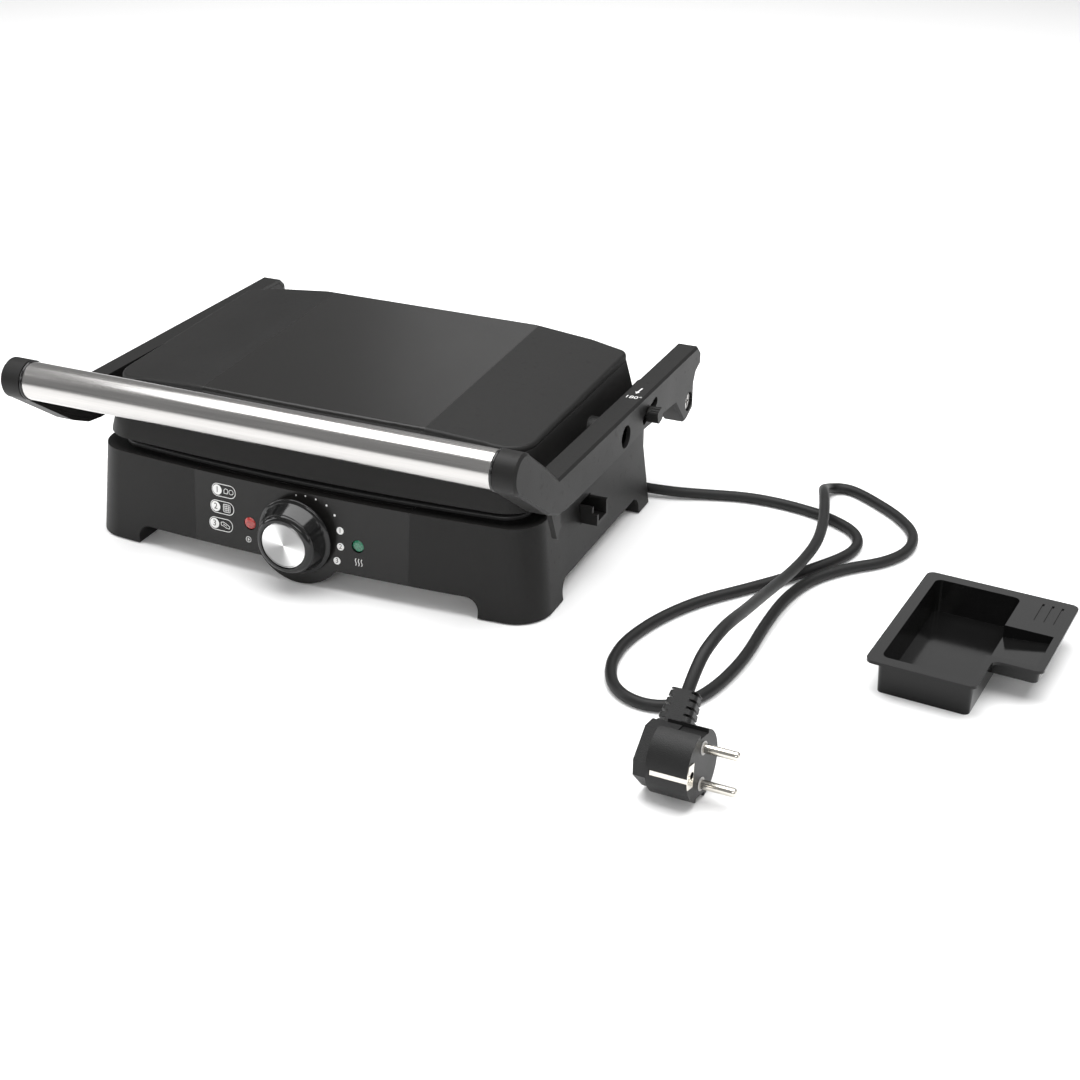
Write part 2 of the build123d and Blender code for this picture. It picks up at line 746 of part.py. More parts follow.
# Cord and plug
cord_route = [
    # out of the gland and along the table to the right
    (136, 96.5, 5.6), (148, 96.5, 5.6), (167, 100.5, 4.6), (187, 108.5, 3.3), (210, 114.5, 3.3),
    (234, 114.5, 3.3), (257, 110, 3.3), (273, 103.5, 3.3), (285, 95, 3.3), (291.5, 83, 3.3),
    (291.5, 70, 3.3), (286, 56, 3.3), (276, 40, 3.3), (263, 20, 3.3), (245.5, -2, 3.3),
    (226, -25, 3.3), (211.5, -53, 3.3), (203.5, -82, 3.3),
    # the loop in front
    (203.5, -103, 3.3), (207.5, -118, 3.3), (214, -130, 3.3), (224, -138, 3.3), (236, -141, 3.3),
    (247.5, -138, 3.3), (256.5, -129.5, 3.3), (262.5, -117, 3.3), (267, -99, 3.3),
    # back to the rear and round the second loop
    (270, -72, 3.3), (269, -36, 3.3), (270.5, -2, 3.3), (278, 26, 3.3), (294, 48, 3.3),
    (313, 64, 3.3), (323, 85, 3.3), (320, 108, 3.3), (305, 126.5, 3.3), (289.5, 138.5, 3.3),
    (277, 147, 3.3), (268.3, 151.2, 3.3), (261.8, 151.3, 3.5), (256.8, 147.6, 4.2), (254.6, 141.6, 6.2),
    # over the first run and up to the plug
    (255, 133, 9.8), (256.8, 123, 14.2), (260.5, 111, 17.3), (265.5, 94, 17.3), (271, 72, 16.5),
    (274.6, 46, 17.0), (273.6, 20, 17.6), (272.2, -4, 20.3), (271.2, -28, 25.0), (271.6, -52, 31.6),
    (272.8, -76, 38.8), (274.0, -98, 45.6), (274.7, -114, 50.8), (274.6, -130, 54.4), (273.6, -146.5, 55.0),
]
cord_lead_in = 17.0


def plug_frame():
    """Where the plug's face centre stands, with its pins along local +X."""
    return Location(plug_place, plug_turn)


def plug_exit():
    """Unit direction, in the plug's frame, in which the cord leaves it."""
    angle = math.radians(plug_exit_angle)
    return Vector(0, math.cos(angle), math.sin(angle))


def plug_cord_point(distance):
    """A point on the line of the cord's exit from the plug, on the object's axes."""
    local = Vector(plug_exit_back, 0, 0) + plug_exit() * distance
    return (plug_frame() * Pos(*tuple(local))).position


def cord_points():
    """The route, then straight into the plug's strain relief."""
    ends = [plug_cord_point(plug_exit_length + cord_lead_in), plug_cord_point(plug_exit_length)]
    return [Vector(*point) for point in cord_route] + ends


def cord_radii(points):
    """The largest arc that each corner's two runs allow."""
    radii = []
    for before, corner, after in zip(points, points[1:], points[2:]):
        turn = math.radians((corner - before).get_angle(after - corner))
        shorter = min((corner - before).length, (after - corner).length)
        radii.append(0.45 * shorter / math.tan(turn / 2))
    return radii


def power_cord():
    points = cord_points()
    radii = cord_radii(points)
    print("cord radii", [round(radius) for radius in radii])
    path = FilletPolyline(*points, radius=radii)
    section = Plane(origin=points[0], z_dir=points[1] - points[0]) * Circle(cord_diameter / 2)
    tube = sweep(section, path=path)
    expected = math.pi * cord_diameter ** 2 / 4 * path.length
    print("cord length", round(path.length), "volume ratio", round(tube.volume / expected, 4))
    return tube


def cord_gland():
    """Tapered bend protector, held in the cable boss."""
    return Solid.make_cone(4.5, 3.9, gland_length, Plane(origin=gland_start, z_dir=(1, 0, 0)))


def strain_relief():
    """The plug's flat tapered tail, slotted from both sides so that it bends."""
    start = Vector(plug_exit_back, 0, 0) + plug_exit() * relief_start
    base = Plane(origin=start, x_dir=(1, 0, 0), z_dir=plug_exit())
    length = plug_exit_length - relief_start
    tail = loft([base * RectangleRounded(18.0, 12.4, 2.6),
                 base.offset(length) * RectangleRounded(14.7, 10.6, 2.6)])
    for index in range(relief_slots):
        for side in (-1, 1):
            height = length * (index + 0.75) / relief_slots
            tail -= base.offset(height).location * Pos(side * 7.4, 0, 0) * Box(6.4, 20, relief_slot_width)
    return tail


def plug_body():
    """Angled plug: round face block, wide back and a ribbed tail."""
    body = rod((-22, 0, 0), (0, 0, 0), plug_radius)
    for z in (-1, 1):
        body -= box((-30, 3), (-5.0, 5.0), (z * 18.2 - 2.6, z * 18.2 + 2.6))
    back = Pos(-21.5, 0, 0) * Rot(plug_exit_angle, 0, 0) * Box(16, 30, 28)
    body += chamfer(back.edges().filter_by(Axis.X), 6)
    body += strain_relief()
    for side in (-1, 1):
        body -= rod((-9, 0, side * pin_pitch / 2), (1, 0, side * pin_pitch / 2), pin_root_radius)
    # hole for the socket's earth pin, and the seat of the side contact
    body -= rod((-8, earth_hole_y, 0), (1, earth_hole_y, 0), earth_hole_radius)
    body -= box((-20, 1), (-19, -17.0), (-3.1, -0.3))
    return plug_frame() * body


def plug_pins():
    """Two round pins, each with a thinner root held in the plug."""
    pins = []
    for side in (-1, 1):
        z = side * pin_pitch / 2
        pin = fillet(rod((0, 0, z), (pin_length, 0, z), pin_radius).edges().sort_by(Axis.X)[-1], 1.9)
        pins.append(plug_frame() * (pin + rod((-9, 0, z), (0, 0, z), pin_root_radius)))
    return pins


def plug_earth_contact():
    """Side strip, joined to a pierced clip plate that lies on the plug's face."""
    strip = box((-19.6, 0.5), (-18.3, -17.0), (-2.9, -0.5))
    clip = box((0, 0.5), (-18.2, -11.5), (-6.5, 6.0)) & rod((0, 0, 0), (0.5, 0, 0), plug_radius - 0.1)
    clip -= rod((-1, earth_hole_y, 0), (1, earth_hole_y, 0), earth_hole_radius)
    return plug_frame() * (strip + clip)


def build_all():
    """Every node of the press, by name."""
    nodes = {
        "base_housing": base_housing(),
        "base_bottom_plate": base_bottom_plate(),
        "foot_pads": foot_pads(),
        "bottom_screws": bottom_screws(),
        "lower_grill_plate": lower_grill_plate(),
        "upper_grill_plate": upper_grill_plate(),
        "fat_spout": fat_spout(),
        "lower_heating_element": heating_element(48.8),
        "upper_heating_element": heating_element(75.2),
        "lower_reflector": reflector(38.0, 50.0, (38.0, 38.8), (38.8, 51.0)),
        "upper_reflector": reflector(74.0, 86.0, (85.2, 86.0), (73.0, 85.2)),
        "lower_element_clamps": element_clamps(44.0, 45.4),
        "upper_element_clamps": element_clamps(78.6, 80.0),
        "lower_plate_screws": plate_screws(37.6, 52.4, (35.6, 37.6)),
        "upper_plate_screws": plate_screws(71.6, 86.4, (86.4, 88.4)),
        "dial_knob": dial_knob(),
        "knob_disc": knob_disc(),
        "thermostat": thermostat(),
        "red_lamp_lens": lamp_lens(red_lamp),
        "green_lamp_lens": lamp_lens(green_lamp),
        "neon_lamps": neon_lamps(),
        "terminal_block": terminal_block(),
        "thermal_fuse": thermal_fuse(),
        "internal_leads": internal_leads(),
        "lid_cover": lid_cover(),
        "lid_frame": lid_frame(),
        "lid_screws": lid_screws(),
        "handle_tube": handle_tube(),
        "release_lever": release_lever(),
        "release_spring": release_spring(),
        "latch_hook": latch_hook(),
        "hook_pin": hook_pin(),
        "drip_tray": drip_tray(),
        "power_cord": power_cord(),
        "cord_gland": cord_gland(),
        "plug_body": plug_body(),
        "plug_pins": plug_pins(),
        "plug_earth_contact": plug_earth_contact(),
    }
    pairs = {
        "arm_shell": (arm_shell_right(), mirror(arm_shell(), about=Plane.YZ)),
        "arm_bar": (arm_bar_right(), mirror(arm_bar(), about=Plane.YZ)),
        "arm_cover": both_sides(arm_cover()),
        "handle_cap": both_sides(handle_cap()),
        "handle_screw": both_sides(handle_screw()),
        "lid_pivot": both_sides(lid_pivot()),
        "hinge_tower": both_sides(hinge_tower()),
        "hinge_pin": both_sides(hinge_pin()),
    }
    for name, (right, left) in pairs.items():
        nodes[f"{name}_right"] = right
        nodes[f"{name}_left"] = left
    return nodes


for name, shape in build_all().items():
    save(name, shape)
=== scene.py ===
import bpy
import bmesh
import json
import math
from mathutils import Matrix, Vector
from mathutils.bvhtree import BVHTree


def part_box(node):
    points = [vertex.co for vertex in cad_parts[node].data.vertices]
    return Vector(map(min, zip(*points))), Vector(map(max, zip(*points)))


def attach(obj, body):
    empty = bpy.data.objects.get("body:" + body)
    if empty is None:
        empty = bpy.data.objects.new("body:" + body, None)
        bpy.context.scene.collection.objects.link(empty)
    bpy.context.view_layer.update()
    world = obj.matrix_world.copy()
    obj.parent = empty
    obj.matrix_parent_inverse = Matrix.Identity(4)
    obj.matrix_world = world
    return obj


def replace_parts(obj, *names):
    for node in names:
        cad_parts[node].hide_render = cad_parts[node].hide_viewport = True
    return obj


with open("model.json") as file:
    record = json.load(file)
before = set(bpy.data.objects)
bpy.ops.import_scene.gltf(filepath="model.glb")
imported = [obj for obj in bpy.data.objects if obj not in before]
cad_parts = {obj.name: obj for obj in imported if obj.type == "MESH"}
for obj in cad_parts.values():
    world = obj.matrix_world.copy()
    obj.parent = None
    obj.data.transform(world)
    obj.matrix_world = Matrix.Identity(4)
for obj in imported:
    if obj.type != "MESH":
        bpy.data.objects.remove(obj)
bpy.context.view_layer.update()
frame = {"nodes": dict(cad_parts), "record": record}
millimetre = 0.001
scene = bpy.context.scene
nodes = frame["nodes"]


# Shader helpers

class Signal:  # a shader socket that takes part in Python maths
    def __init__(self, paint, socket):
        self.paint = paint
        self.socket = socket

    def math(self, operation, *values):
        sockets = dict(enumerate(values))
        return self.paint.add("ShaderNodeMath", {"operation": operation}, sockets)

    def __add__(self, other):
        return self.math("ADD", self, other)

    def __radd__(self, other):
        return self.math("ADD", other, self)

    def __sub__(self, other):
        return self.math("SUBTRACT", self, other)

    def __rsub__(self, other):
        return self.math("SUBTRACT", other, self)

    def __mul__(self, other):
        return self.math("MULTIPLY", self, other)

    def __rmul__(self, other):
        return self.math("MULTIPLY", other, self)

    def __pow__(self, other):
        return self.math("POWER", self, other)

    def __abs__(self):
        return self.math("ABSOLUTE", self)

    def above(self, limit, blur):  # 0 below the limit and 1 above it, with a soft step
        return self.paint.add("ShaderNodeMapRange", {"interpolation_type": "SMOOTHSTEP"},
                              {"Value": self, "From Min": limit - blur, "From Max": limit + blur})


class Paint:  # one material, built node by node
    def __init__(self, name, **shader):
        self.material = bpy.data.materials.new(name)
        self.material.use_nodes = True
        self.tree = self.material.node_tree
        self.shader = self.tree.nodes["Principled BSDF"]
        self.place = self.add("ShaderNodeTexCoord", output="Object")
        parts = self.tree.nodes.new("ShaderNodeSeparateXYZ")
        self.tree.links.new(self.place.socket, parts.inputs[0])
        self.x, self.y, self.z = (Signal(self, parts.outputs[axis]) for axis in range(3))
        for name, value in shader.items():
            self.set(name.replace("_", " "), value)

    def add(self, kind, settings=None, sockets=None, output=0):
        node = self.tree.nodes.new(kind)
        for name, value in (settings or {}).items():
            setattr(node, name, value)
        for name, value in (sockets or {}).items():
            self.connect(node.inputs[name], value)
        return Signal(self, node.outputs[output])

    def connect(self, socket, value):
        if isinstance(value, Signal):
            self.tree.links.new(value.socket, socket)
        else:
            socket.default_value = value

    def set(self, name, value):  # a value or a signal on the shader's own socket
        self.connect(self.shader.inputs[name], value)

    def stretched(self, scale):  # the object's own coordinates, scaled along each axis
        return self.add("ShaderNodeMapping", None, {"Vector": self.place, "Scale": scale})

    def noise(self, scale, detail, vector=None):
        return self.add("ShaderNodeTexNoise", None,
                        {"Vector": vector or self.place, "Scale": scale, "Detail": detail})

    def cells(self, scale):
        return self.add("ShaderNodeTexVoronoi", None, {"Vector": self.place, "Scale": scale})

    def blend(self, mask, first, second):  # the first colour where the mask is 0, the second where it is 1
        return self.add("ShaderNodeMix", {"data_type": "RGBA"}, {0: mask, 6: first, 7: second}, output=2)

    def bump(self, height, depth):  # depth in metres
        normal = self.add("ShaderNodeBump", None, {"Height": height, "Distance": depth, "Strength": 1.0})
        self.set("Normal", normal)


def grey(value, warm=0.0):
    return (value * (1 + warm), value, value * (1 - warm), 1.0)


# Materials

grainPlastic = {"colour": 0.0062, "roughness": 0.5, "specular": 0.25, "warm": 0.04, "grainScale": 1500,
                "grainDepth": 0.00005, "bandColour": 0.010, "bandRoughness": 0.24}


def plasticWithBand(name, inBand=None):  # fine-grained black plastic, polished where inBand says
    paint = Paint(name, Specular_IOR_Level=grainPlastic["specular"])
    cloud = paint.noise(38, 4)
    grain = paint.noise(grainPlastic["grainScale"], 2)
    wear = paint.noise(260, 5).above(0.66, 0.05)
    colour, warm = grainPlastic["colour"], grainPlastic["warm"]
    colour = paint.blend(cloud, grey(colour * 0.8, warm), grey(colour * 1.25, warm))
    rough = grainPlastic["roughness"] + (cloud - 0.5) * 0.10 + wear * 0.05
    height = grain
    if inBand:
        band = inBand(paint)  # 1 in the polished band and 0 beside it
        colour = paint.blend(band, colour, grey(grainPlastic["bandColour"], warm))
        rough = rough * (1 - band) + band * (grainPlastic["bandRoughness"] + cloud * 0.04)
        height = grain * (1 - band * 0.94)
    paint.set("Base Color", colour)
    paint.set("Roughness", rough)
    paint.bump(height, grainPlastic["grainDepth"])
    return paint.material


bandEdges = {"frontHalf": 0.072, "frontDepth": -0.0795, "lidLeft": -0.069, "lidRight": 0.077,
             "lidBottom": 0.0985, "blur": 0.0002, "depthBlur": 0.0003}


def frontBand(paint):  # the polished middle of the base's front
    sides = 1 - abs(paint.x).above(bandEdges["frontHalf"], bandEdges["blur"])
    return sides * (1 - paint.y.above(bandEdges["frontDepth"], bandEdges["depthBlur"]))


def lidBand(paint):  # the polished middle of the lid's top
    right = 1 - paint.x.above(bandEdges["lidRight"], bandEdges["blur"])
    upward = paint.z.above(bandEdges["lidBottom"], bandEdges["blur"])
    return paint.x.above(bandEdges["lidLeft"], bandEdges["blur"]) * right * upward


def glossPlastic(name, colour=0.009, roughness=0.16, specular=0.4):
    paint = Paint(name, Specular_IOR_Level=specular)
    cloud = paint.noise(55, 4)
    scratch = paint.noise(420, 3, paint.stretched((1.0, 6.0, 1.0)))
    paint.set("Base Color", paint.blend(cloud, grey(colour * 0.8), grey(colour * 1.2)))
    paint.set("Roughness", roughness + (cloud - 0.5) * 0.06 + scratch.above(0.62, 0.06) * 0.06)
    paint.bump(scratch * 0.3 + paint.noise(160, 3), 0.00002)
    return paint.material


def brushedMetal(name, colour, scale, roughness=0.24):  # streaks along the axis with a low scale
    paint = Paint(name, Metallic=1.0)
    streaks = paint.noise(1.0, 4, paint.stretched(scale))
    wide = paint.noise(1.0, 3, paint.stretched([value * 0.12 for value in scale]))
    paint.set("Base Color", paint.blend(streaks, grey(colour * 0.78, 0.02), grey(colour * 1.12, 0.02)))
    paint.set("Roughness", roughness + (streaks - 0.5) * 0.22 + (wide - 0.5) * 0.08)
    paint.bump(streaks, 0.000012)
    return paint.material


def spunFace(centre):  # turned metal face: fine rings, and the light fans that such rings throw, painted into the colour as a painted reflection
    paint = Paint("spunFace", Metallic=1.0)
    across = paint.x - centre.x
    upward = paint.z - centre.z
    angle = upward.math("ARCTAN2", upward, across)
    squares = across * across + upward * upward
    radius = squares.math("SQRT", squares)
    paintedReflectionFans = angle.math("COSINE", angle * 2 + 1.3) * 0.5 + 0.5
    uneven = paint.noise(9, 2) * 0.35
    light = paintedReflectionFans ** 2.2 + uneven * 0.5
    rings = radius.math("SINE", radius * 21000)
    # painted reflection: the colour runs from dark to bright grey with the light fans and the noise on them
    paint.set("Base Color", paint.blend(light, grey(0.22), grey(0.93)))
    paint.set("Roughness", 0.26 + rings * 0.05)
    paint.bump(rings + paint.noise(700, 2) * 0.5, 0.000006)
    return paint.material


def rubber(name, colour, roughness, grainScale, depth):
    paint = Paint(name, Specular_IOR_Level=0.3)
    grain = paint.cells(grainScale)
    cloud = paint.noise(70, 4)
    paint.set("Base Color", paint.blend(cloud, grey(colour * 0.75), grey(colour * 1.3)))
    paint.set("Roughness", roughness + (cloud - 0.5) * 0.12)
    paint.bump(grain, depth)
    return paint.material


def nonStick():
    paint = Paint("nonStickCoating")
    speckle = paint.noise(2600, 2)
    cloud = paint.noise(30, 4)
    paint.set("Base Color", paint.blend(speckle, grey(0.013), grey(0.034)))
    paint.set("Roughness", 0.38 + (cloud - 0.5) * 0.14 + speckle * 0.08)
    paint.bump(speckle, 0.00004)
    return paint.material


def lens(name, deep, bright):
    paint = Paint(name, Coat_Weight=0.8)
    facets = paint.cells(900)
    paint.set("Base Color", paint.blend(facets, bright, deep))
    paint.set("Roughness", 0.14 + facets * 0.1)
    paint.bump(facets, 0.0002)
    return paint.material


def plainCoat(name, colour, roughness, metallic=0.0, scale=300):  # simple finishes of the pieces inside
    paint = Paint(name, Metallic=metallic)
    cloud = paint.noise(scale, 4)
    dark = (colour[0] * 0.8, colour[1] * 0.8, colour[2] * 0.8, 1.0)
    paint.set("Base Color", paint.blend(cloud, dark, (*colour, 1.0)))
    paint.set("Roughness", roughness + (cloud - 0.5) * 0.2)
    paint.bump(cloud, 0.00003)
    return paint.material


finish = {
    "base": plasticWithBand("basePlastic", frontBand),
    "lid": plasticWithBand("lidPlastic", lidBand),
    "arm": plasticWithBand("armPlastic"),
    "gloss": glossPlastic("collarPlastic"),
    "knob": glossPlastic("knobPlastic", 0.008, 0.13),
    "tray": glossPlastic("trayPlastic", 0.006, 0.12, 0.24),
    "handle": brushedMetal("handleSteel", 0.55, (14, 1500, 1500), 0.2),
    "screw": brushedMetal("screwSteel", 0.56, (900, 900, 900), 0.3),
    # painted shade: a dark finish for the pivot heads deep in their holes and for the spring in the lever's
    # slot, coloured as the shade there
    "shadeDarkSteel": plainCoat("paintedShadeSteel", (0.03, 0.03, 0.03), 0.45, 0.6, 500),
    "sheet": brushedMetal("zincSheet", 0.5, (700, 60, 700), 0.36),
    "aluminium": brushedMetal("reflectorAluminium", 0.7, (40, 900, 900), 0.34),
    "nickel": plainCoat("pinNickel", (0.74, 0.71, 0.65), 0.2, 1.0, 900),
    "plate": nonStick(),
    "cord": rubber("cordRubber", 0.006, 0.52, 2400, 0.00003),
    "plug": rubber("plugRubber", 0.006, 0.45, 2200, 0.00008),
    "pad": rubber("padRubber", 0.03, 0.75, 1200, 0.0001),
    "red": lens("redLens", (0.16, 0.004, 0.003, 1.0), (0.5, 0.02, 0.012, 1.0)),
    "green": lens("greenLens", (0.0, 0.05, 0.025, 1.0), (0.01, 0.2, 0.1, 1.0)),
    "ring": plainCoat("ringPlastic", (0.42, 0.41, 0.4), 0.45, 0.0, 900),
    "print": plainCoat("whitePrint", (0.82, 0.82, 0.81), 0.5, 0.0, 900),
    "heater": plainCoat("heaterSheath", (0.24, 0.21, 0.18), 0.45, 0.8, 500),
    "ceramic": plainCoat("terminalPlastic", (0.75, 0.74, 0.7), 0.5),
    "core": plainCoat("coreInsulation", (0.16, 0.09, 0.05), 0.5),
    "glass": plainCoat("lampGlass", (0.7, 0.55, 0.45), 0.12),
}
print("materials", len(finish))


# Mesh helpers

meshSettings = {"mergeCopy": 0.000002, "mergeSpun": 0.000004, "flatAngle": 0.4, "bevelAngle": 32,
                "normalWeight": 90}


def makePiece(name, mesh, body, material):
    data = bpy.data.meshes.new(name)
    mesh.to_mesh(data)
    mesh.free()
    for face in data.polygons:
        face.use_smooth = True
    piece = bpy.data.objects.new(name, data)
    scene.collection.objects.link(piece)
    data.materials.append(material)
    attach(piece, body)
    return piece


def roundEdges(piece, width, segments=2, angle=meshSettings["bevelAngle"]):
    bevel = piece.modifiers.new("edges", "BEVEL")
    bevel.width = width
    bevel.segments = segments
    bevel.limit_method = "ANGLE"
    bevel.angle_limit = math.radians(angle)
    bevel.miter_outer = "MITER_ARC"
    weighted = piece.modifiers.new("flatFaces", "WEIGHTED_NORMAL")
    weighted.mode = "FACE_AREA"
    weighted.weight = meshSettings["normalWeight"]
    weighted.keep_sharp = True
    return piece


def cleanCopy(nodeName):  # a merged copy of a CAD node's mesh, with its flat faces joined
    mesh = bmesh.new()
    mesh.from_mesh(nodes[nodeName].data)
    bmesh.ops.remove_doubles(mesh, verts=mesh.verts, dist=meshSettings["mergeCopy"])
    bmesh.ops.dissolve_limit(mesh, angle_limit=math.radians(meshSettings["flatAngle"]),
                             use_dissolve_boundaries=False, verts=mesh.verts, edges=mesh.edges,
                             delimit={"NORMAL"})
    return mesh


bodyOfNode = {name: body for body, names in frame["record"]["behaviour"]["bodies"].items() for name in names}


def softened(nodeName, material, width):  # the CAD part with its edges rounded as a moulding's are
    piece = makePiece(nodeName + "Soft", cleanCopy(nodeName), bodyOfNode[nodeName],
                      material)
    roundEdges(piece, width)
    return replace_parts(piece, nodeName)


def spun(profile, steps=64):  # a closed body of revolution about X from (along, radius) points
    mesh = bmesh.new()
    verts = [mesh.verts.new((along, radius, 0)) for along, radius in profile]
    edges = [mesh.edges.new(pair) for pair in zip(verts, verts[1:])]
    bmesh.ops.spin(mesh, geom=verts + edges, cent=(0, 0, 0), axis=(1, 0, 0), angle=math.tau,
                   steps=steps, use_merge=True)
    bmesh.ops.remove_doubles(mesh, verts=mesh.verts, dist=meshSettings["mergeSpun"])
    bmesh.ops.recalc_face_normals(mesh, faces=mesh.faces)
    return mesh


def turnTo(direction):  # turns +X to a direction
    return Vector((1, 0, 0)).rotation_difference(Vector(direction)).to_matrix().to_4x4()


# Cord

cordSettings = {"diameter": 0.0066, "length": 1.129, "segments": 8}
cordRoute = [
    # out of the gland and along the table to the right
    (136, 96.5, 5.6), (148, 96.5, 5.6), (167, 100.5, 4.6), (187, 108.5, 3.3), (210, 114.5, 3.3),
    (234, 114.5, 3.3), (257, 110, 3.3), (273, 103.5, 3.3), (285, 95, 3.3), (291.5, 83, 3.3),
    (291.5, 70, 3.3), (286, 56, 3.3), (276, 40, 3.3), (263, 20, 3.3), (245.5, -2, 3.3),
    (226, -25, 3.3), (211.5, -53, 3.3), (203.5, -82, 3.3),
    # the loop in front
    (203.5, -103, 3.3), (207.5, -118, 3.3), (214, -130, 3.3), (224, -138, 3.3), (236, -141, 3.3),
    (247.5, -138, 3.3), (256.5, -129.5, 3.3), (262.5, -117, 3.3), (267, -99, 3.3),
    # back to the rear and round the second loop
    (270, -72, 3.3), (269, -36, 3.3), (270.5, -2, 3.3), (278, 26, 3.3), (294, 48, 3.3),
    (313, 64, 3.3), (323, 85, 3.3), (320, 108, 3.3), (305, 126.5, 3.3), (289.5, 138.5, 3.3),
    (277, 147, 3.3), (268.3, 151.2, 3.3), (261.8, 151.3, 3.5), (256.8, 147.6, 4.2), (254.6, 141.6, 6.2),
    # over the first run and up to the plug
    (255, 133, 9.8), (256.8, 123, 14.2), (260.5, 111, 17.3), (265.5, 94, 17.3), (271, 72, 16.5),
    (274.6, 46, 17.0), (273.6, 20, 17.6), (272.2, -4, 20.3), (271.2, -28, 25.0), (271.6, -52, 31.6),
    (272.8, -76, 38.8), (274.0, -98, 45.6), (274.7, -114, 50.8), (274.6, -130, 54.4), (273.6, -146.5, 55.0),
    (271.64, -162.45, 50.7), (270.99, -175.57, 39.92),
]


def makeCord():
    curve = bpy.data.curves.new("powerCord", "CURVE")
    curve.dimensions = "3D"
    curve.bevel_depth = cordSettings["diameter"] / 2
    curve.bevel_resolution = cordSettings["segments"]
    curve.use_fill_caps = True
    spline = curve.splines.new("NURBS")
    spline.points.add(len(cordRoute) - 1)
    for point, place in zip(spline.points, cordRoute):
        point.co = (*(value * millimetre for value in place), 1.0)
    spline.order_u = 3
    spline.use_endpoint_u = True
    spline.resolution_u = 12
    piece = bpy.data.objects.new("powerCord", curve)
    scene.collection.objects.link(piece)
    curve.materials.append(finish["cord"])
    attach(piece, "base")
    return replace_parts(piece, "power_cord")


cord = makeCord()


# Camera, floor and light

cameraSettings = {"lens": 60.966, "place": (0.5131, -0.9043, 0.530), "tilt": 62.112, "turn": 23.82}


def makeCamera():
    data = bpy.data.cameras.new("camera")
    data.lens = cameraSettings["lens"]
    data.sensor_width = 36.0
    camera = bpy.data.objects.new("camera", data)
    camera.location = cameraSettings["place"]
    camera.rotation_euler = (math.radians(cameraSettings["tilt"]), 0, math.radians(cameraSettings["turn"]))
    scene.collection.objects.link(camera)
    scene.camera = camera


lightSettings = [  # name, place, aim, size, watts
    ("topSoftbox", (0.1, 0.1, 1.7), (0.1, 0.0, 0.0), (2.4, 1.6), 60),
    ("leftSoftbox", (-1.5, -0.5, 0.7), (0.0, 0.0, 0.05), (0.7, 1.0), 9),
    ("rightSoftbox", (1.8, -0.3, 0.8), (0.1, 0.0, 0.05), (0.7, 1.0), 4),
    ("frontStrip", (0.5, -1.8, 1.0), (0.1, 0.0, 0.08), (1.2, 0.3), 9),
    ("rearSoftbox", (0.0, 1.8, 1.1), (0.0, 0.0, 0.1), (2.0, 0.5), 3),
]


def makeLights():
    for name, place, aim, size, watts in lightSettings:
        data = bpy.data.lights.new(name, "AREA")
        data.shape = "RECTANGLE"
        data.size, data.size_y = size
        data.energy = watts
        lamp = bpy.data.objects.new(name, data)
        lamp.location = place
        direction = Vector(aim) - Vector(place)
        lamp.rotation_euler = direction.to_track_quat("-Z", "Y").to_euler()
        scene.collection.objects.link(lamp)
    world = bpy.data.worlds.new("studio")
    world.use_nodes = True
    world.node_tree.nodes["Background"].inputs["Color"].default_value = (1.0, 1.0, 1.0, 1.0)
    world.node_tree.nodes["Background"].inputs["Strength"].default_value = 0.3
    scene.world = world


def makeFloor():
    mesh = bmesh.new()
    bmesh.ops.create_grid(mesh, x_segments=1, y_segments=1, size=6.0)
    data = bpy.data.meshes.new("floor")
    mesh.to_mesh(data)
    mesh.free()
    floor = bpy.data.objects.new("floor", data)
    scene.collection.objects.link(floor)
    paint = Paint("floorPaper", Roughness=0.9)
    paint.set("Base Color", grey(0.93))
    data.materials.append(paint.material)


makeCamera()
makeLights()
makeFloor()
scene.view_settings.view_transform = "Standard"
print("camera, lights, floor")


# Casings: the CAD parts with moulded edges

softenedParts = [  # node, finish, edge width in millimetres
    ("base_housing", "base", 0.7), ("base_bottom_plate", "sheet", 0.3), ("lid_cover", "lid", 0.12),
    ("lid_frame", "lid", 0.15), ("arm_shell_right", "arm", 0.5), ("arm_shell_left", "arm", 0.5),
    ("arm_cover_right", "arm", 0.3), ("arm_cover_left", "arm", 0.3), ("hinge_tower_right", "arm", 0.6),
    ("hinge_tower_left", "arm", 0.6), ("drip_tray", "tray", 0.5), ("fat_spout", "arm", 0.4),
    ("latch_hook", "arm", 0.4), ("release_lever", "arm", 0.4), ("handle_cap_right", "gloss", 0.9),
    ("handle_cap_left", "gloss", 0.9), ("plug_body", "plug", 0.4), ("lower_grill_plate", "plate", 0.6),
    ("upper_grill_plate", "plate", 0.6),
]
plainParts = {  # finish of the CAD parts that keep their own mesh
    "pad": ["foot_pads"],
    "screw": ["bottom_screws", "lower_plate_screws", "upper_plate_screws", "lid_screws", "handle_screw_right",
              "handle_screw_left", "hinge_pin_right", "hinge_pin_left", "hook_pin"],
    # painted shade: the lid pivots and the release spring are coloured dark as the shade in their holes and
    # slot
    "shadeDarkSteel": ["lid_pivot_right", "lid_pivot_left", "release_spring"],
    "sheet": ["lower_element_clamps", "upper_element_clamps", "thermostat", "thermal_fuse", "arm_bar_right",
              "arm_bar_left"],
    "aluminium": ["lower_reflector", "upper_reflector"],
    "heater": ["lower_heating_element", "upper_heating_element"],
    "handle": ["handle_tube"],
    "glass": ["neon_lamps"],
    "ceramic": ["terminal_block"],
    "core": ["internal_leads"],
    "nickel": ["plug_pins", "plug_earth_contact"],
}


def makeCasings():
    for nodeName, finishName, width in softenedParts:
        softened(nodeName, finish[finishName], width * millimetre)


def paintPlainParts():
    for finishName, names in plainParts.items():
        for name in names:
            data = nodes[name].data
            data.materials.clear()
            data.materials.append(finish[finishName])
            for face in data.polygons:
                face.use_smooth = True


